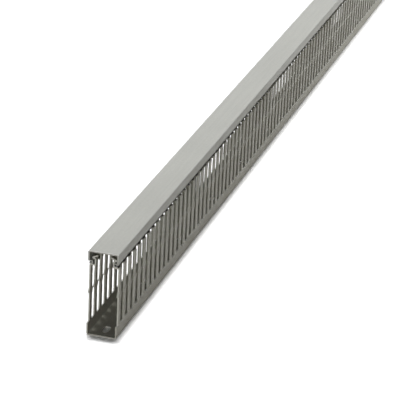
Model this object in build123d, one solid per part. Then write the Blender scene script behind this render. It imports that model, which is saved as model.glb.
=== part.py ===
from build123d import *

import math
import os

# Slotted cable trunking with a clip-on lid: two PVC extrusions, one metre long.
# The trunking runs along +Y and rests on its base at Z = 0, with the origin under the middle
# of its length and width. Its front end is the one at -Y. All sizes are in millimetres.

# Overall size
length = 1000.0
width = 25.5
height = 74.0

# Trunking body: one constant wall, bent into base, sides, shoulders and hooks
body_wall = 1.2
base_corner_outside = 1.8
base_corner_inside = 0.6

# Lid section
lid_wall = 1.2
lid_corner = 0.9
foot_corner = 0.7
flange_drop = 9.0
curl_radius = 1.5
curl_wall = 0.8
curl_setback = 0.7

# How the lid's curls sit on the shoulders and under the hooks
seat_gap = 1.6
neck_gap = 0.25
hook_gap = 0.6
hook_catch = 1.65
hook_slope = 1.1
nose_height = 1.2
lip_reach = 4.4
lip_rise = 1.9

# Slots between the fingers of both side walls
slot_pitch = 12.5
slot_width = 7.2
slot_floor = 10.9
first_slot = 0.0

# Nubs on both edges of each finger, half way up, which keep the wires in
front_nub_level = 36.3
rear_nub_level = 38.3
nub_reach = 2.4
nub_taper = 4.8
nub_step = 0.5

# Fixing slots in the base
fixing_width = 5.5
fixing_length = 11.5
fixing_pitch = 100.0
first_fixing = 12.5

# The lid's curls hang from its flanges, and the hooks of the body close round them
flange_foot = height - flange_drop
curl_level = flange_foot + curl_wall - curl_radius
curl_centre = width / 2 - lid_wall - curl_radius
shoulder_level = curl_level - curl_radius - seat_gap
neck_face = curl_centre - curl_radius - neck_gap
nose_face = curl_centre - curl_radius + hook_catch
nose_level = flange_foot + curl_wall + hook_gap
front_end = -length / 2
cut_margin = 1.0


def offset_inwards(path, distance):
    """Points of the same path moved to its left by a distance, with mitred corners."""
    steps = [(b - a).normalized() for a, b in zip(path, path[1:])]
    normals = [Vector(-step.Y, step.X) for step in steps]
    befores = [normals[0]] + normals
    afters = normals + [normals[-1]]
    moved = []
    for point, before, after in zip(path, befores, afters):
        mitre = (before + after).normalized()
        moved.append(point + mitre * (distance / mitre.dot(before)))
    return moved


def crossing(start, through, other_start, other_through):
    """The point where two straight lines, each given by two of its points, cross."""
    along = through - start
    across = other_through - other_start
    share = (other_start - start).cross(across).Z / along.cross(across).Z
    return start + along * share


def mirrored(points):
    """The same points on the other side of the middle, in the opposite order."""
    return [Vector(-point.X, point.Y) for point in reversed(points)]


def body_section():
    """Section of the trunking: base, side walls, shoulders, necks and barbed hooks."""
    half = width / 2
    neck_top = Vector(neck_face, nose_level - hook_slope)
    nose = [Vector(nose_face, nose_level), Vector(nose_face, nose_level + nose_height)]
    lip_end = Vector(nose_face - lip_reach, nose_level + nose_height + lip_rise)
    wall = [Vector(half, 0), Vector(half, shoulder_level), Vector(neck_face, shoulder_level)]
    sharp_nose = crossing(neck_top, nose[0], lip_end, nose[1])
    inside = offset_inwards([Vector(0, 0), *wall, neck_top, sharp_nose, lip_end], body_wall)
    right = [*wall, neck_top, *nose, lip_end, *reversed(inside[1:])]
    face = make_face(Polyline(*right, *mirrored(right), close=True))
    lowest = face.vertices().group_by(Axis.Y)
    face = fillet(lowest[0], base_corner_outside)
    floor_corners = [v for v in face.vertices() if abs(v.Y - body_wall) < body_wall / 100]
    return fillet(floor_corners, base_corner_inside)


def slot_edge(centre):
    """Edge of one open-topped slot in the Y-Z plane, from its front top round to its rear top.

    The finger before the slot has its rear nub here, with a step on top, and the finger behind
    it has its front nub, with a step below. The slots at the sawn ends have one finger only.
    """
    front = centre - slot_width / 2
    rear = centre + slot_width / 2
    front_reach = nub_reach if front > front_end else 0
    rear_reach = nub_reach if rear < front_end + length else 0
    top = height + cut_margin
    return [
        (front, top),
        (front, rear_nub_level + nub_step),
        (front + front_reach, rear_nub_level),
        (front, rear_nub_level - nub_taper),
        (front, slot_floor),
        (rear, slot_floor),
        (rear, front_nub_level - nub_step),
        (rear - rear_reach, front_nub_level),
        (rear, front_nub_level + nub_taper),
        (rear, top),
    ]


def slot_comb():
    """A comb right across the trunking, whose teeth cut the slots of both walls."""
    count = math.floor((length + slot_width / 2 - first_slot) / slot_pitch) + 1
    edge = []
    for index in range(count):
        edge += slot_edge(front_end + first_slot + index * slot_pitch)
    back = height + 2 * cut_margin
    face = make_face(Polyline(*edge, (edge[-1][0], back), (edge[0][0], back), close=True))
    return extrude(Plane.YZ * face, width / 2 + cut_margin, both=True)


def fixing_cutters():
    """One cutter for each oblong fixing slot, in a single row down the middle of the base."""
    count = math.floor((length - fixing_length / 2 - first_fixing) / fixing_pitch) + 1
    outline = SlotOverall(fixing_length, fixing_width, rotation=90)
    cutter = Pos(0, front_end + first_fixing, -cut_margin) * extrude(
        outline, body_wall + 2 * cut_margin
    )
    return [Pos(0, index * fixing_pitch, 0) * cutter for index in range(count)]


def duct_body():
    """The slotted trunking in one piece."""
    wall = extrude(Plane.XZ * body_section(), length / 2, both=True)
    return wall - slot_comb() - fixing_cutters()


def curl_section():
    """The curled edge of the right-hand flange, open towards the outside."""
    ring = Circle(curl_radius) - Circle(curl_radius - curl_wall)
    bend = ring - Pos(curl_radius, 0) * Rectangle(2 * curl_radius, 2 * curl_radius)
    level = curl_radius - curl_wall / 2
    web_length = width / 2 - foot_corner - curl_centre
    leg_length = width / 2 - curl_setback - curl_centre
    web = Pos(web_length / 2, level) * Rectangle(web_length, curl_wall)
    leg = Pos(leg_length / 2, -level) * Rectangle(leg_length, curl_wall)
    return Pos(curl_centre, curl_level) * (bend + web + leg)


def lid_section():
    """Section of the lid: a flat top, two flanges and their curled edges."""
    outside = Pos(0, height - flange_drop / 2) * Rectangle(width, flange_drop)
    outside = fillet(outside.vertices().group_by(Axis.Y)[-1], lid_corner)
    outside = fillet(outside.vertices().group_by(Axis.Y)[0], foot_corner)
    room_height = flange_drop - lid_wall
    room_width = width - 2 * lid_wall
    inside = Pos(0, flange_foot + room_height / 2) * Rectangle(room_width, room_height)
    curl = curl_section()
    return outside - inside + curl + mirror(curl, Plane.YZ)


def lid():
    """The clip-on lid in one piece, as long as the trunking."""
    return extrude(Plane.XZ * lid_section(), length / 2, both=True)


def main():
    os.makedirs("parts", exist_ok=True)
    for name, piece in (("duct_body", duct_body()), ("lid", lid())):
        export_step(piece, f"parts/{name}.step")


main()
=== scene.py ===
import math

import bmesh
import bpy
from bpy.props import FloatProperty, FloatVectorProperty, PointerProperty
from bpy.types import Operator, Panel, PropertyGroup
from mathutils import Matrix, Vector


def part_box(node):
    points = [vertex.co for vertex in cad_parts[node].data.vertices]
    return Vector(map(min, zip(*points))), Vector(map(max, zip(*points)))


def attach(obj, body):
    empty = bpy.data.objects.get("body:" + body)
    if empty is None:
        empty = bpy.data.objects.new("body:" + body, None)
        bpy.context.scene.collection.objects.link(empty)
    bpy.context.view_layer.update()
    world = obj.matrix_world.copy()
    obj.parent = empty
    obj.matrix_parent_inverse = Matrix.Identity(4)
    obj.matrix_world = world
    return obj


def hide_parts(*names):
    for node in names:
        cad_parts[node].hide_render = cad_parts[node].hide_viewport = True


bl_info = {
    "name": "Slotted cable trunking",
    "version": (1, 0, 0),
    "blender": (4, 5, 0),
    "location": "3D View > Sidebar > Trunking",
    "description": "Builds slotted trunking and its clip-on lid in grey PVC on a pale floor",
    "category": "Object",
}

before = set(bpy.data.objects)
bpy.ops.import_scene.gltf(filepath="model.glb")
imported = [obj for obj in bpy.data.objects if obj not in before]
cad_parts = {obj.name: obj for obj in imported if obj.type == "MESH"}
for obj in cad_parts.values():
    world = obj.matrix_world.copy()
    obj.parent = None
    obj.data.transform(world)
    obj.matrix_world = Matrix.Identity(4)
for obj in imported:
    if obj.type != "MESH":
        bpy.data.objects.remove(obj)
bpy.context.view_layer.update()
body_low, body_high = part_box("duct_body")
lid_low, lid_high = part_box("lid")


def millimetres(number):
    """A size written in millimetres, as Blender's metres."""
    return number / 1000


# Roundings of the bends of the trunking's section, in millimetres, from the base up
OUTER_ROUNDINGS = {
    "base": 1.8,
    "shoulder": 1.3,
    "neck foot": 0.35,
    "neck top": 0.5,
    "nose foot": 0.45,
    "nose top": 0.45,
    "lip end": 0.45,
}
INNER_ROUNDINGS = {
    "base": 0.6,
    "shoulder": 0.35,
    "neck foot": 0.8,
    "neck top": 0.6,
    "hook": 0.3,
    "lip end": 0.45,
}

CURL_END_ROUNDING = millimetres(0.25)
LID_INSIDE_ROUNDING = millimetres(0.3)
NUB_ROUNDING = millimetres(0.3)
NUB_ROOT_ROUNDING = millimetres(2.0)

# What a row of punches takes, with the kind of its socket
ROW_SOCKETS = {
    "outline": "NodeSocketObject",
    "depth": "NodeSocketVector",
    "first": "NodeSocketFloat",
    "pitch": "NodeSocketFloat",
    "count": "NodeSocketInt",
}

# Rounded corners are drawn in steps of at most this turn
ARC_STEP = math.radians(18)
CURL_STEPS = 14

# Edges that turn more than this are softened and shaded as sharp
SHARP_ANGLE = math.radians(32)
MERGE_DISTANCE = millimetres(0.002)
NEARLY = millimetres(0.1)

# How far a punch reaches past the trunking, and a step by which heights are told apart
MARGIN = millimetres(1)

# A normal's part along an axis, above which a face counts as facing that way
FACING = 0.9
# The same for the edges of fingers, some of which slant at the nubs
LEANING = 0.3

# How much each kind of cut face takes on the paler cut colour; slot floors take it whole, as a
# painted highlight standing in for light on them
SAWN = 0.2
PUNCHED = 0.66
SLOT_FLOOR_HIGHLIGHT = 1.5

# Patterns are drawn out along the length by the die, and down the cut faces by the punch
DIE_DRAWING = (1, 0.012, 1)
PUNCH_DRAWING = (1, 1, 0.12)

# How much painted shade lies in the groove under the flange and on shoulders and necks, where the
# lid shades them
GROOVE_SHADE = 1.0
LEDGE_SHADE = 0.8
# Near-black colour of the painted shade
PAINTED_SHADE_COLOUR = (0.045, 0.045, 0.04, 1)

# How far the PVC's tone goes up and down, as a part of its colour, and the reach of each
# pattern between the two
TONE_SPREAD = 0.14
DIE_LINE_TONE = 0.7
CLOUD_TONE = 0.5
GRAIN_TONE = 0.55
MOTTLE_TONE = 0.6

# How much a cut face and an edge take on the paler colour, and how far this varies; on edges this
# is partly wear and partly a painted highlight
CUT_PALENESS = 0.65
TEAR_PALENESS = 0.8
WEAR_AND_HIGHLIGHT_PALENESS = 0.2
GRAIN_PALENESS = 0.2

# Roughness of the satin surface, what the patterns and cuts add and what wear takes away
SATIN_ROUGHNESS = 0.43
CLOUD_ROUGHNESS = 0.16
GRAIN_ROUGHNESS = 0.12
CUT_ROUGHNESS = 0.18
WORN_SMOOTHING = 0.04

# Height of the relief's patterns, as parts of its depth
RELIEF_DEPTH = millimetres(0.05)
DIE_LINE_RELIEF = 0.6
GRAIN_RELIEF = 0.4
TEAR_RELIEF = 1.5

# How much the painted shade covers where it is full, and how far the clouds vary it
PAINTED_SHADE_COVER = 0.9
CLOUD_COVER = 0.6

# The floor: its corners, and the distances from the middle over which it fades into white
FLOOR_CORNERS = ((-12, -12, 0), (12, -12, 0), (12, 12, 0), (-12, 12, 0))
FADE_ACROSS = (0.4, 0.8)
FADE_ALONG = (1.4, 1.8)
SEEN_FLOOR_COLOUR = (0.74, 0.742, 0.745, 1)
WHITE = (1, 1, 1, 1)

AMBIENT_COLOUR = (1, 1, 0.98, 1)
AMBIENT_STRENGTH = 0.045
SENSOR_WIDTH = 36

# Each lamp's name, place, target and width in metres, and power in watts
LAMPS = (
    ("overhead", (-0.1, -0.25, 2.4), (0, -0.1, 0), 0.26, 48),
    ("back_right", (0.6, 0.9, 0.5), (0, 0.3, 0.03), 0.4, 4.6),
    ("front", (0.2, -3.2, 0.2), (0, -0.4, 0.03), 0.5, 38),
)


def from_frame(name, metres, description):
    """A length property whose default is in metres, as it is measured on the CAD frame."""
    return FloatProperty(
        name=name, description=description, default=metres, unit="LENGTH", precision=5
    )


def size(name, number, description):
    """A length property whose default is given in millimetres."""
    return from_frame(name, millimetres(number), description)


def angle(name, degrees, description):
    """An angle property whose default is given in degrees."""
    return FloatProperty(
        name=name, description=description, default=math.radians(degrees), unit="ROTATION"
    )


def picture_place(name, part, description):
    """A property for a place in the picture, as a part of its width or height."""
    return FloatProperty(name=name, description=description, default=part)


def tint(name, default, description):
    """A colour property."""
    return FloatVectorProperty(
        name=name, description=description, subtype="COLOR", default=default, min=0, max=1
    )


class TrunkingBodySizes(PropertyGroup):
    """Section of the trunking: base, side walls, shoulders, necks and barbed hooks."""

    length: from_frame("Length", body_high.y - body_low.y, "Length of the extrusion")
    width: from_frame("Width", body_high.x - body_low.x, "Width over both side walls")
    wall: size("Wall", 1.2, "Thickness of the base, the walls and the hooks")
    shoulder_level: size("Shoulder level", 61.2, "Height of the ledge below the lid's curls")
    neck_face: size("Neck face", 8.3, "Distance of the neck's outer face from the middle")
    nose_face: size("Nose face", 10.2, "Distance of the hook's nose from the middle")
    nose_level: size("Nose level", 66.4, "Height of the lower corner of the hook's nose")
    nose_height: size("Nose height", 1.2, "Height of the hook's blunt nose")
    hook_slope: size("Hook slope", 1.1, "Fall of the hook's underside towards the neck")
    lip_reach: size("Lip reach", 4.4, "Length of the hook's lip, towards the middle")
    lip_rise: size("Lip rise", 1.9, "Rise of the hook's lip, towards the middle")


class TrunkingSlotSizes(PropertyGroup):
    """Slots of the side walls, their nubs, and the fixing slots of the base."""

    pitch: size("Slot pitch", 12.5, "Distance from slot to slot")
    width: size("Slot width", 7.2, "Width of a slot between two fingers")
    floor: size("Slot floor", 10.9, "Height at which the slots begin")
    floor_corner: size("Floor corner", 1.1, "Rounding at the bottom of a slot")
    front_nub: size("Front nub level", 36.3, "Height of the nub on a finger's front edge")
    rear_nub: size("Rear nub level", 38.3, "Height of the nub on a finger's rear edge")
    nub_reach: size("Nub reach", 2.4, "How far a nub stands into the slot")
    nub_taper: size("Nub taper", 4.8, "Length of a nub's gentle side")
    nub_step: size("Nub step", 0.5, "Length of a nub's steep side")
    fixing_width: size("Fixing width", 5.5, "Width of an oblong fixing slot")
    fixing_length: size("Fixing length", 11.5, "Length of an oblong fixing slot")
    fixing_pitch: size("Fixing pitch", 100.0, "Distance from fixing slot to fixing slot")
    first_fixing: size("First fixing", 12.5, "Distance of the first one from the front end")


class TrunkingLidSizes(PropertyGroup):
    """Section of the lid: top, two flanges and their curled edges."""

    top: from_frame("Top level", lid_high.z, "Height of the lid's top face")
    length: from_frame("Length", lid_high.y - lid_low.y, "Length of the extrusion")
    width: from_frame("Width", lid_high.x - lid_low.x, "Width over both flanges")
    wall: size("Wall", 1.2, "Thickness of the top and the flanges")
    corner: size("Corner", 0.9, "Rounding of the two long top edges")
    foot_corner: size("Foot corner", 0.7, "Rounding of the flanges' lower outer edges")
    flange_drop: size("Flange drop", 9.0, "Height of the flanges, top face included")
    curl_radius: size("Curl radius", 1.5, "Outer radius of the curled edge's bend")
    curl_wall: size("Curl wall", 0.8, "Thickness of the curled edge")
    curl_setback: size("Curl setback", 0.7, "Distance of the curl's end from the flange's face")


class TrunkingFinish(PropertyGroup):
    """Colours of the PVC and how far its edges are softened."""

    body_colour: tint("Trunking", (0.355, 0.346, 0.295), "Colour of the trunking's PVC")
    lid_colour: tint("Lid", (0.435, 0.438, 0.41), "Colour of the lid's PVC")
    # Pale partly because cut PVC whitens, and partly so that slot floors and edges carry a painted
    # highlight
    cut_and_highlight_colour: tint("Cut faces", (0.86, 0.86, 0.82), "Colour of sawn and punched faces")
    softening: size("Softening", 0.14, "Width of the softened band along each sharp edge")


class TrunkingStage(PropertyGroup):
    """Camera, lamps and floor."""

    focal_length: FloatProperty(
        name="Focal length", description="Lens, in millimetres of a 36 mm frame", default=182.13
    )
    azimuth: angle("Azimuth", 15.587, "Turn of the camera to the right of the front end")
    elevation: angle("Elevation", 22.631, "Height of the camera above the level")
    roll: angle("Roll", 2.767, "Turn of the camera about its own line of sight")
    distance: size("Distance", 1672.64, "Distance of the camera from the front end")
    across: picture_place("Across", 0.24583, "Place of the front end in the picture, from its left")
    down: picture_place("Down", 0.70993, "Place of the front end in the picture, from its top")
    floor_colour: tint(
        "Floor", (0.2, 0.186, 0.13), "Colour of the floor as it lights the trunking"
    )


class TrunkingSettings(PropertyGroup):
    """All that a user of the trunking can change."""

    body: PointerProperty(type=TrunkingBodySizes)
    slots: PointerProperty(type=TrunkingSlotSizes)
    lid: PointerProperty(type=TrunkingLidSizes)
    finish: PointerProperty(type=TrunkingFinish)
    stage: PointerProperty(type=TrunkingStage)


class Value:
    """A node's output that can be used in Python arithmetic. Each sign adds a Math node."""

    def __init__(self, graph, socket):
        self.graph = graph
        self.socket = socket

    def _maths(self, operation, first, second):
        return self.graph.add("ShaderNodeMath", {"operation": operation}, {0: first, 1: second})

    def __add__(self, other):
        return self._maths("ADD", self, other)

    def __radd__(self, other):
        return self._maths("ADD", other, self)

    def __sub__(self, other):
        return self._maths("SUBTRACT", self, other)

    def __rsub__(self, other):
        return self._maths("SUBTRACT", other, self)

    def __mul__(self, other):
        return self._maths("MULTIPLY", self, other)

    def __rmul__(self, other):
        return self._maths("MULTIPLY", other, self)


class Graph:
    """Adds nodes to a tree, for a material, the world or a Geometry Nodes modifier."""

    def __init__(self, tree):
        self.tree = tree

    def add(self, kind, settings=None, sockets=None, output=0):
        """One node with its settings, then the values or links of its sockets."""
        node = self.tree.nodes.new(kind)
        for name, setting in (settings or {}).items():
            setattr(node, name, setting)
        for key, value in (sockets or {}).items():
            for item in value if isinstance(value, list) else [value]:
                if isinstance(item, Value):
                    self.tree.links.new(item.socket, node.inputs[key])
                else:
                    node.inputs[key].default_value = item
        return Value(self, node.outputs[output] if node.outputs else None)

    def other(self, value, output):
        """Another output of the node that a value comes from."""
        return Value(self, value.socket.node.outputs[output])


def rounded_corner(before, corner, after, radius):
    """Points of the arc that rounds one corner of an outline, or the corner itself."""
    if radius <= 0:
        return [corner]
    back = (before - corner).normalized()
    on = (after - corner).normalized()
    turn = math.pi - back.angle(on)
    start = corner + back * radius * math.tan(turn / 2)
    centre = corner + (back + on).normalized() * radius / math.cos(turn / 2)
    side = math.copysign(1, (-back).x * on.y - (-back).y * on.x)
    steps = max(1, math.ceil(turn / ARC_STEP))
    spoke = start - centre
    turns = [side * turn * step / steps for step in range(steps + 1)]
    return [centre + Matrix.Rotation(bearing, 2) @ spoke for bearing in turns]


def rounded_outline(corners):
    """A closed outline from its corners, each given as across, up and radius."""
    points = [Vector(corner[:2]) for corner in corners]
    outline = []
    for index, corner in enumerate(corners):
        after = points[(index + 1) % len(points)]
        outline += rounded_corner(points[index - 1], points[index], after, corner[2])
    return outline


def offset_inwards(path, distance):
    """The same path moved to its left by a distance, with mitred corners."""
    steps = [(after - before).normalized() for before, after in zip(path, path[1:])]
    normals = [Vector((-step.y, step.x)) for step in steps]
    moved = []
    for point, before, after in zip(path, normals[:1] + normals, normals + normals[-1:]):
        mitre = (before + after).normalized()
        moved.append(point + mitre * (distance / mitre.dot(before)))
    return moved


def crossing(start, through, other_start, other_through):
    """The point where two straight lines, each given by two of its points, cross."""
    along = through - start
    across = other_through - other_start
    share = (other_start - start).cross(across) / along.cross(across)
    return start + along * share


def mirrored_outline(right):
    """A closed outline from the corners of its right half."""
    return rounded_outline(right + [(-x, z, radius) for x, z, radius in reversed(right)])


def body_outline(sizes):
    """Outline of the trunking's section, each bend rounded as it leaves the die."""
    half = sizes.width / 2
    wall = [(half, 0), (half, sizes.shoulder_level), (sizes.neck_face, sizes.shoulder_level)]
    neck_top = Vector((sizes.neck_face, sizes.nose_level - sizes.hook_slope))
    nose_foot = Vector((sizes.nose_face, sizes.nose_level))
    nose_top = Vector((sizes.nose_face, sizes.nose_level + sizes.nose_height))
    lip_end = nose_top + Vector((-sizes.lip_reach, sizes.lip_rise))
    sharp_nose = crossing(neck_top, nose_foot, lip_end, nose_top)
    path = [Vector((0, 0)), *map(Vector, wall), neck_top, sharp_nose, lip_end]
    inside = offset_inwards(path, sizes.wall)
    outside = [*wall, neck_top, nose_foot, nose_top, lip_end]
    outer, inner = [
        [(*point, millimetres(radius)) for point, radius in zip(points, roundings.values())]
        for points, roundings in ((outside, OUTER_ROUNDINGS), (inside[1:], INNER_ROUNDINGS))
    ]
    return mirrored_outline(outer + inner[::-1])


def lid_outline(sizes):
    """Outline of the lid's section: top, flanges and the curls that the hooks hold."""
    half = sizes.width / 2
    foot = sizes.top - sizes.flange_drop
    curl_level = foot + sizes.curl_wall - sizes.curl_radius
    centre = Vector((half - sizes.wall - sizes.curl_radius, curl_level))
    leg_end = half - sizes.curl_setback
    bearings = [math.pi * (0.5 + step / CURL_STEPS) for step in range(CURL_STEPS + 1)]
    inner_arc, outer_arc = [
        [centre + radius * Vector((math.cos(a), math.sin(a))) for a in bearings]
        for radius in (sizes.curl_radius - sizes.curl_wall, sizes.curl_radius)
    ]
    right = [
        (half, sizes.top, sizes.corner),
        (half, foot, sizes.foot_corner),
        *[(*point, 0) for point in inner_arc],
        (leg_end, inner_arc[-1].y, CURL_END_ROUNDING),
        (leg_end, outer_arc[-1].y, CURL_END_ROUNDING),
        *[(*point, 0) for point in outer_arc[::-1]],
        (half - sizes.wall, foot + sizes.curl_wall, LID_INSIDE_ROUNDING),
        (half - sizes.wall, sizes.top - sizes.wall, LID_INSIDE_ROUNDING),
    ]
    return mirrored_outline(right)


def slot_outline(sizes, top):
    """Outline of one open-topped slot in the side view, with the room that the nubs leave."""
    front, rear = -sizes.width / 2, sizes.width / 2
    return rounded_outline(
        [
            (front, top, 0),
            (front, sizes.rear_nub + sizes.nub_step, NUB_ROUNDING),
            (front + sizes.nub_reach, sizes.rear_nub, NUB_ROUNDING),
            (front, sizes.rear_nub - sizes.nub_taper, NUB_ROOT_ROUNDING),
            (front, sizes.floor, sizes.floor_corner),
            (rear, sizes.floor, sizes.floor_corner),
            (rear, sizes.front_nub - sizes.nub_step, NUB_ROUNDING),
            (rear - sizes.nub_reach, sizes.front_nub, NUB_ROUNDING),
            (rear, sizes.front_nub + sizes.nub_taper, NUB_ROOT_ROUNDING),
            (rear, top, 0),
        ]
    )


def fixing_outline(sizes):
    """Outline of one oblong fixing slot, seen from above."""
    across, along = sizes.fixing_width / 2, sizes.fixing_length / 2
    # The two arcs of an end stop just short of one point
    radius = across * 0.999
    corners = ((across, along), (-across, along), (-across, -along), (across, -along))
    return rounded_outline([(*corner, radius) for corner in corners])


def flat_piece(name, outline, place, direction):
    """An object of one flat face, its outline put in place, facing the given direction."""
    sheet = bmesh.new()
    face = sheet.faces.new([sheet.verts.new(place(point)) for point in outline])
    face.normal_update()
    if face.normal.dot(Vector(direction)) < 0:
        face.normal_flip()
    mesh = bpy.data.meshes.new(name)
    sheet.to_mesh(mesh)
    sheet.free()
    piece = bpy.data.objects.new(name, mesh)
    bpy.context.scene.collection.objects.link(piece)
    return piece


def prism_tree():
    """Geometry Nodes group that turns flat faces into closed prisms."""
    tree = bpy.data.node_groups.new("Prism from outline", "GeometryNodeTree")
    tree.interface.new_socket("Outline", in_out="INPUT", socket_type="NodeSocketGeometry")
    tree.interface.new_socket("Depth", in_out="INPUT", socket_type="NodeSocketVector")
    tree.interface.new_socket("Prism", in_out="OUTPUT", socket_type="NodeSocketGeometry")
    graph = Graph(tree)
    outline = graph.add("NodeGroupInput", output="Outline")
    far_side = graph.add(
        "GeometryNodeExtrudeMesh",
        {"mode": "FACES"},
        {"Mesh": outline, "Offset": graph.other(outline, "Depth"), "Individual": False},
    )
    near_side = graph.add("GeometryNodeFlipFaces", sockets={"Mesh": outline})
    joined = graph.add("GeometryNodeJoinGeometry", sockets={"Geometry": [far_side, near_side]})
    closed = graph.add(
        "GeometryNodeMergeByDistance", sockets={"Geometry": joined, "Distance": millimetres(0.001)}
    )
    graph.add("NodeGroupOutput", sockets={"Prism": closed})
    return tree


def punched_row(graph, prism, outline, depth, first, pitch, count):
    """Nodes that put a row of punches, each a prism of one outline, along the length."""
    flat = graph.add("GeometryNodeObjectInfo", sockets={"Object": outline}, output="Geometry")
    punch = graph.add(
        "GeometryNodeGroup", {"node_tree": prism}, {"Outline": flat, "Depth": depth}
    )
    start = graph.add("ShaderNodeCombineXYZ", sockets={"Y": first})
    step = graph.add("ShaderNodeCombineXYZ", sockets={"Y": pitch})
    places = graph.add(
        "GeometryNodeMeshLine",
        {"mode": "OFFSET"},
        {"Count": count, "Start Location": start, "Offset": step},
    )
    return graph.add("GeometryNodeInstanceOnPoints", sockets={"Points": places, "Instance": punch})


def extrusion_tree(name, rows):
    """Geometry Nodes tree that extrudes a section and punches rows of slots through it."""
    prism = bpy.data.node_groups.get("Prism from outline") or prism_tree()
    tree = bpy.data.node_groups.new(name, "GeometryNodeTree")
    tree.interface.new_socket("Section", in_out="INPUT", socket_type="NodeSocketGeometry")
    tree.interface.new_socket("Length", in_out="INPUT", socket_type="NodeSocketFloat")
    tree.interface.new_socket("Material", in_out="INPUT", socket_type="NodeSocketMaterial")
    for row in rows:
        for part, kind in ROW_SOCKETS.items():
            tree.interface.new_socket(f"{row} {part}", in_out="INPUT", socket_type=kind)
    tree.interface.new_socket("Extrusion", in_out="OUTPUT", socket_type="NodeSocketGeometry")
    graph = Graph(tree)
    section = graph.add("NodeGroupInput", output="Section")
    depth = graph.add("ShaderNodeCombineXYZ", sockets={"Y": graph.other(section, "Length")})
    extrusion = graph.add(
        "GeometryNodeGroup", {"node_tree": prism}, {"Outline": section, "Depth": depth}
    )
    if rows:
        punches = [
            punched_row(
                graph, prism, *[graph.other(section, f"{row} {part}") for part in ROW_SOCKETS]
            )
            for row in rows
        ]
        extrusion = graph.add(
            "GeometryNodeMeshBoolean",
            {"operation": "DIFFERENCE", "solver": "EXACT"},
            {"Mesh 1": extrusion, "Mesh 2": punches},
        )
    whole = graph.add("GeometryNodeRealizeInstances", sockets={"Geometry": extrusion})
    finished = graph.add(
        "GeometryNodeSetMaterial",
        sockets={"Geometry": whole, "Material": graph.other(section, "Material")},
    )
    graph.add("NodeGroupOutput", sockets={"Extrusion": finished})
    return tree


def run_tree(piece, tree, values):
    """Replaces a piece's mesh by what a Geometry Nodes tree makes of it."""
    modifier = piece.modifiers.new(tree.name, "NODES")
    modifier.node_group = tree
    for item in tree.interface.items_tree:
        if item.in_out == "INPUT" and item.name in values:
            modifier[item.identifier] = values[item.name]
    bpy.context.view_layer.update()
    evaluated = piece.evaluated_get(bpy.context.evaluated_depsgraph_get())
    mesh = bpy.data.meshes.new_from_object(evaluated)
    piece.modifiers.remove(modifier)
    raw = piece.data
    piece.data = mesh
    bpy.data.meshes.remove(raw)
    mesh.name = piece.name


def mark_and_soften(piece, softening, cut_and_highlight_share, shade_share):
    """Marks cut faces and faces for painted shade, softens the sharp edges and marks their bands
    for wear and a painted highlight.
    """
    shape = bmesh.new()
    shape.from_mesh(piece.data)
    bmesh.ops.remove_doubles(shape, verts=shape.verts, dist=MERGE_DISTANCE)
    bmesh.ops.dissolve_degenerate(shape, edges=shape.edges, dist=MERGE_DISTANCE)
    cut = shape.faces.layers.float.new("cut_face")
    worn_and_highlit = shape.faces.layers.float.new("worn_edge")
    # Faces marked here get painted shade in the material
    dusty = shape.faces.layers.float.new("dusty")
    for face in shape.faces:
        face[cut] = cut_and_highlight_share(face)
        face[dusty] = shade_share(face)
    sharp = [
        edge
        for edge in shape.edges
        if len(edge.link_faces) == 2 and edge.calc_face_angle(0) > SHARP_ANGLE
    ]
    bands = bmesh.ops.bevel(
        shape,
        geom=sharp,
        offset=softening,
        offset_type="OFFSET",
        segments=1,
        profile=0.5,
        affect="EDGES",
        clamp_overlap=True,
    )
    # The softened bands are paler in the material: partly wear, partly a painted highlight
    for face in bands["faces"]:
        face[worn_and_highlit] = 1.0
    for face in shape.faces:
        face.smooth = True
    shape.to_mesh(piece.data)
    shape.free()
    piece.data.set_sharp_from_angle(angle=SHARP_ANGLE)
    if not piece.data.polygons:
        raise RuntimeError(f"{piece.name} came out empty")


def sawn_share(face):
    """How much a face shows the saw: the two ends of an extrusion."""
    return SAWN if abs(face.normal.y) > FACING else 0.0


def punched_and_highlight_share(face, front, slot_floor):
    """How much a face shows the saw or the punch: ends and edges of fingers; floors of slots get
    more, as a painted highlight.
    """
    place = face.calc_center_median()
    if abs(face.normal.y) > LEANING:
        at_end = place.y < front + NEARLY or place.y > -front - NEARLY
        return SAWN if at_end else PUNCHED
    at_floor = -MARGIN < place.z - slot_floor < 2 * MARGIN
    # Slot floors take more than a whole share: a painted highlight
    return SLOT_FLOOR_HIGHLIGHT if at_floor and face.normal.z > LEANING else 0.0


def lid_shade_share(face, foot):
    """How much painted shade a face of the lid takes: in the groove of the curled edge, which the
    flange shades.
    """
    place = face.calc_center_median()
    if abs(face.normal.y) > FACING:
        return 0.0
    return GROOVE_SHADE if place.z < foot + NEARLY and face.normal.z < FACING else 0.0


def body_shade_share(face, shoulder, neck):
    """How much painted shade a face of the trunking takes: on the shoulder and on the neck, in the
    shade under the lid.
    """
    place = face.calc_center_median()
    if abs(face.normal.y) > LEANING or place.z < shoulder - MARGIN / 2:
        return 0.0
    on_shoulder = face.normal.z > FACING and place.z < shoulder + NEARLY
    on_neck = abs(abs(place.x) - neck) < 2 * NEARLY
    return LEDGE_SHADE if on_shoulder or on_neck else 0.0


def noise(graph, place, scale, detail, roughness=0.5):
    """A noise pattern, from 0 to 1, with so many grains to the metre."""
    return graph.add(
        "ShaderNodeTexNoise",
        {"noise_dimensions": "3D"},
        {"Vector": place, "Scale": scale, "Detail": detail, "Roughness": roughness},
    )


def swing(pattern, reach):
    """A pattern made to swing about 0, half its reach to either side."""
    return (pattern - 0.5) * reach


def attribute(graph, name):
    """A number that each face carries under a name."""
    return graph.add("ShaderNodeAttribute", {"attribute_name": name}, output="Fac")


def mixed_colour(graph, factor, first, second):
    """Mix of two colours, each a colour value or a link."""
    return graph.add(
        "ShaderNodeMix",
        {"data_type": "RGBA", "clamp_factor": True},
        {0: factor, 6: first, 7: second},
        output=2,
    )


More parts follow.
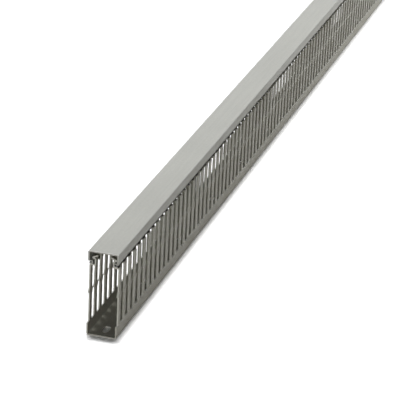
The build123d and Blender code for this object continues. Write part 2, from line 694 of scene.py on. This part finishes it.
def pvc_material(name, colour, cut_and_highlight_colour):
    """Satin extruded PVC: faint die lines along the length, fine grain, paler cut faces, painted
    highlights on slot floors and edges, and painted shade where marked.
    """
    material = bpy.data.materials.new(name)
    material.use_nodes = True
    material.node_tree.nodes.clear()
    graph = Graph(material.node_tree)
    place = graph.add("ShaderNodeTexCoord", output="Object")
    along = graph.add("ShaderNodeMapping", sockets={"Vector": place, "Scale": DIE_DRAWING})
    down = graph.add("ShaderNodeMapping", sockets={"Vector": place, "Scale": PUNCH_DRAWING})
    die_lines = noise(graph, along, scale=1400, detail=2)
    grain = noise(graph, place, scale=1700, detail=3, roughness=0.6)
    mottle = noise(graph, place, scale=420, detail=2)
    clouds = noise(graph, place, scale=22, detail=3)
    tears = noise(graph, down, scale=2600, detail=2)
    cut = attribute(graph, "cut_face")
    worn_and_highlit = attribute(graph, "worn_edge")
    dusty = attribute(graph, "dusty")

    # The PVC's own tone, then paler where it is sawn or punched, on slot floors as a painted
    # highlight, and on edges partly from wear and partly as a painted highlight
    dark = tuple(part * (1 - TONE_SPREAD) for part in colour) + (1,)
    light = tuple(min(1, part * (1 + TONE_SPREAD)) for part in colour) + (1,)
    pale = tuple(cut_and_highlight_colour) + (1,)
    fine = swing(grain, GRAIN_TONE) + swing(mottle, MOTTLE_TONE)
    tone = 0.5 + swing(die_lines, DIE_LINE_TONE) + swing(clouds, CLOUD_TONE) + fine
    plain = mixed_colour(graph, tone, dark, light)
    torn = cut * (CUT_PALENESS + swing(tears, TEAR_PALENESS))
    cut_mixed = mixed_colour(graph, torn, plain, pale)
    # Edges: partly wear, partly a painted highlight along them
    rubbed_and_highlit = worn_and_highlit * (WEAR_AND_HIGHLIGHT_PALENESS + grain * GRAIN_PALENESS)
    edge_mixed = mixed_colour(graph, rubbed_and_highlit, cut_mixed, pale)

    # Satin where it was extruded, rougher where it was cut
    unevenness = swing(clouds, CLOUD_ROUGHNESS) + swing(grain, GRAIN_ROUGHNESS)
    satin = SATIN_ROUGHNESS + unevenness
    roughness = satin + cut * CUT_ROUGHNESS - worn_and_highlit * WORN_SMOOTHING
    extruded_relief = die_lines * DIE_LINE_RELIEF + grain * GRAIN_RELIEF
    torn_relief = tears * TEAR_RELIEF + grain * GRAIN_RELIEF
    relief = (1 - cut) * extruded_relief + cut * torn_relief
    bump = graph.add(
        "ShaderNodeBump",
        sockets={"Strength": 0.35, "Distance": RELIEF_DEPTH, "Height": relief},
    )
    shader = graph.add(
        "ShaderNodeBsdfPrincipled",
        sockets={
            "Base Color": edge_mixed,
            "Roughness": roughness,
            "Normal": bump,
            "IOR": 1.53,
            "Specular IOR Level": 0.13,
        },
    )
    # Painted shade: a near-black diffuse sheet laid over the marked faces in the shaded groove,
    # shoulders and necks
    shade_paint = graph.add("ShaderNodeBsdfDiffuse", sockets={"Color": PAINTED_SHADE_COLOUR})
    cover = dusty * (PAINTED_SHADE_COVER + swing(clouds, CLOUD_COVER))
    shade_painted = graph.add("ShaderNodeMixShader", sockets={0: cover, 1: shader, 2: shade_paint})
    graph.add("ShaderNodeOutputMaterial", sockets={"Surface": shade_painted})
    return material


def seen_directly(graph):
    """1 for rays of the camera and for what gloss and clear parts show, 0 for light."""
    seen = graph.add("ShaderNodeLightPath", output="Is Camera Ray")
    return seen + graph.other(seen, "Is Glossy Ray") + graph.other(seen, "Is Transmission Ray")


def faded(graph, distance, start, end):
    """0 up to a first distance from the middle and 1 past a second one, to either side."""
    absolute = graph.add("ShaderNodeMath", {"operation": "ABSOLUTE"}, {0: distance})
    return graph.add(
        "ShaderNodeMapRange",
        {"interpolation_type": "SMOOTHSTEP"},
        {"Value": absolute, "From Min": start, "From Max": end},
    )


def floor_material(colour):
    """A floor that looks white, lights the trunking as a pale grey and keeps its shadow."""
    material = bpy.data.materials.new("studio_floor")
    material.use_nodes = True
    material.node_tree.nodes.clear()
    graph = Graph(material.node_tree)
    grey = graph.add("ShaderNodeBsdfDiffuse", sockets={"Color": tuple(colour) + (1,)})
    white = graph.add("ShaderNodeBsdfDiffuse", sockets={"Color": SEEN_FLOOR_COLOUR})
    bright = graph.add("ShaderNodeAddShader", sockets={0: white, 1: white})
    place = graph.add("ShaderNodeTexCoord", output="Object")
    across = graph.add("ShaderNodeSeparateXYZ", sockets={0: place})
    sideways = faded(graph, across, *FADE_ACROSS)
    lengthways = faded(graph, graph.other(across, "Y"), *FADE_ALONG)
    far = graph.add("ShaderNodeMath", {"operation": "MAXIMUM"}, {0: sideways, 1: lengthways})
    backdrop = graph.add("ShaderNodeEmission", sockets={"Color": WHITE, "Strength": 1.0})
    pale = graph.add("ShaderNodeMixShader", sockets={0: far, 1: bright, 2: backdrop})
    seen = seen_directly(graph)
    shader = graph.add("ShaderNodeMixShader", sockets={0: seen, 1: grey, 2: pale})
    graph.add("ShaderNodeOutputMaterial", sockets={"Surface": shader})
    return material


def studio_world():
    """Even light from all round, with plain white behind the object."""
    world = bpy.data.worlds.new("studio_world")
    bpy.context.scene.world = world
    world.use_nodes = True
    world.node_tree.nodes.clear()
    graph = Graph(world.node_tree)
    ambient = graph.add(
        "ShaderNodeBackground", sockets={"Color": AMBIENT_COLOUR, "Strength": AMBIENT_STRENGTH}
    )
    white = graph.add("ShaderNodeBackground", sockets={"Color": WHITE, "Strength": 1.0})
    seen = seen_directly(graph)
    shader = graph.add("ShaderNodeMixShader", sockets={0: seen, 1: ambient, 2: white})
    graph.add("ShaderNodeOutputWorld", sockets={"Surface": shader})


def soft_lamp(name, place, target, width, power):
    """A square area lamp that faces a target."""
    lamp = bpy.data.lights.new(name, "AREA")
    lamp.shape = "SQUARE"
    lamp.size = width
    lamp.energy = power
    holder = bpy.data.objects.new(name, lamp)
    holder.location = place
    holder.rotation_mode = "QUATERNION"
    holder.rotation_quaternion = (Vector(target) - Vector(place)).to_track_quat("-Z", "Y")
    bpy.context.scene.collection.objects.link(holder)


def studio_camera(sizes, front_end):
    """The camera, placed so that the front end falls on its place in a square picture."""
    turn, lift = sizes.azimuth, sizes.elevation
    back = Vector(
        (math.sin(turn) * math.cos(lift), -math.cos(turn) * math.cos(lift), math.sin(lift))
    )
    level = Vector((math.cos(turn), math.sin(turn), 0))
    upright = back.cross(level)
    right = level * math.cos(sizes.roll) + upright * math.sin(sizes.roll)
    up = upright * math.cos(sizes.roll) - level * math.sin(sizes.roll)
    data = bpy.data.cameras.new("studio_camera")
    data.sensor_width = SENSOR_WIDTH
    data.lens = sizes.focal_length
    data.clip_end = 100
    frame_width = sizes.distance * data.sensor_width / data.lens
    camera = bpy.data.objects.new("studio_camera", data)
    turned = Matrix((right, up, back)).transposed().to_4x4()
    place = (
        front_end
        - right * (sizes.across - 0.5) * frame_width
        + up * (sizes.down - 0.5) * frame_width
        + back * sizes.distance
    )
    camera.matrix_world = Matrix.Translation(place) @ turned
    bpy.context.scene.collection.objects.link(camera)
    bpy.context.scene.camera = camera


def finished_piece(piece, node, body):
    """Hands a finished piece to the frame: attaches it to its body and hides the node it stands
    for.
    """
    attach(piece, body)
    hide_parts(node)


class TRUNKING_OT_body(Operator):
    """Extrudes the trunking, punches its slots and gives it its finish"""

    bl_idname = "trunking.body"
    bl_label = "Make the trunking"

    def execute(self, context):
        settings = context.scene.trunking
        body, slots, finish = settings.body, settings.slots, settings.finish
        front = -body.length / 2
        material = pvc_material("trunking_pvc", finish.body_colour, finish.cut_and_highlight_colour)
        piece = flat_piece(
            "trunking_body", body_outline(body), lambda point: (point.x, front, point.y), (0, 1, 0)
        )
        side = -body.width / 2 - MARGIN
        slot = flat_piece(
            "slot_punch",
            slot_outline(slots, body_high.z + MARGIN),
            lambda point: (side, point.x, point.y),
            (1, 0, 0),
        )
        fixing = flat_piece(
            "fixing_punch",
            fixing_outline(slots),
            lambda point: (point.x, point.y, -MARGIN),
            (0, 0, 1),
        )
        slot_count = round(body.length / slots.pitch) + 1
        room = body.length - slots.first_fixing - slots.fixing_length / 2
        fixing_count = math.floor(room / slots.fixing_pitch) + 1
        run_tree(
            piece,
            extrusion_tree("Punched trunking", ["Slot", "Fixing"]),
            {
                "Length": body.length,
                "Material": material,
                "Slot outline": slot,
                "Slot depth": (body.width + 2 * MARGIN, 0, 0),
                "Slot first": front,
                "Slot pitch": slots.pitch,
                "Slot count": slot_count,
                "Fixing outline": fixing,
                "Fixing depth": (0, 0, body.wall + 2 * MARGIN),
                "Fixing first": front + slots.first_fixing,
                "Fixing pitch": slots.fixing_pitch,
                "Fixing count": fixing_count,
            },
        )
        for punch in (slot, fixing):
            bpy.data.objects.remove(punch)
        mark_and_soften(
            piece,
            finish.softening,
            lambda face: punched_and_highlight_share(face, front, slots.floor),
            lambda face: body_shade_share(face, body.shoulder_level, body.neck_face),
        )
        finished_piece(piece, "duct_body", "duct")
        return {"FINISHED"}


class TRUNKING_OT_lid(Operator):
    """Extrudes the lid with its curled flanges and gives it its finish"""

    bl_idname = "trunking.lid"
    bl_label = "Make the lid"

    def execute(self, context):
        settings = context.scene.trunking
        sizes, finish = settings.lid, settings.finish
        material = pvc_material("lid_pvc", finish.lid_colour, finish.cut_and_highlight_colour)
        piece = flat_piece(
            "clip_on_lid",
            lid_outline(sizes),
            lambda point: (point.x, lid_low.y, point.y),
            (0, 1, 0),
        )
        run_tree(
            piece,
            extrusion_tree("Extruded lid", []),
            {"Length": sizes.length, "Material": material},
        )
        foot = sizes.top - sizes.flange_drop
        mark_and_soften(
            piece, finish.softening, sawn_share, lambda face: lid_shade_share(face, foot)
        )
        finished_piece(piece, "lid", "cover")
        return {"FINISHED"}


class TRUNKING_OT_stage(Operator):
    """Lays the pale floor and sets up the lamps, the world and the camera"""

    bl_idname = "trunking.stage"
    bl_label = "Set the stage"

    def execute(self, context):
        settings = context.scene.trunking
        floor_mesh = bpy.data.meshes.new("studio_floor")
        floor_mesh.from_pydata(FLOOR_CORNERS, [], [(0, 1, 2, 3)])
        floor_mesh.materials.append(floor_material(settings.stage.floor_colour))
        floor = bpy.data.objects.new("studio_floor", floor_mesh)
        context.scene.collection.objects.link(floor)
        studio_world()
        for lamp in LAMPS:
            soft_lamp(*lamp)
        studio_camera(settings.stage, Vector((0, body_low.y, lid_high.z / 2)))
        context.scene.view_settings.view_transform = "Standard"
        return {"FINISHED"}


class TRUNKING_PT_panel(Panel):
    """Lists what makes the trunking and the sizes and colours it follows."""

    bl_idname = "TRUNKING_PT_panel"
    bl_label = "Slotted trunking"
    bl_space_type = "VIEW_3D"
    bl_region_type = "UI"
    bl_category = "Trunking"

    def draw(self, context):
        settings = context.scene.trunking
        for operator, groups in (
            ("trunking.body", (settings.body, settings.slots, settings.finish)),
            ("trunking.lid", (settings.lid,)),
            ("trunking.stage", (settings.stage,)),
        ):
            box = self.layout.box()
            box.operator(operator)
            for group in groups:
                for name in group.__annotations__:
                    box.prop(group, name)


CLASSES = (
    TrunkingBodySizes,
    TrunkingSlotSizes,
    TrunkingLidSizes,
    TrunkingFinish,
    TrunkingStage,
    TrunkingSettings,
    TRUNKING_OT_body,
    TRUNKING_OT_lid,
    TRUNKING_OT_stage,
    TRUNKING_PT_panel,
)


def register():
    for each in CLASSES:
        bpy.utils.register_class(each)
    bpy.types.Scene.trunking = PointerProperty(type=TrunkingSettings)


def unregister():
    del bpy.types.Scene.trunking
    for each in reversed(CLASSES):
        bpy.utils.unregister_class(each)


def main():
    register()
    bpy.ops.trunking.body()
    bpy.ops.trunking.lid()
    bpy.ops.trunking.stage()


if __name__ == "__main__":
    main()
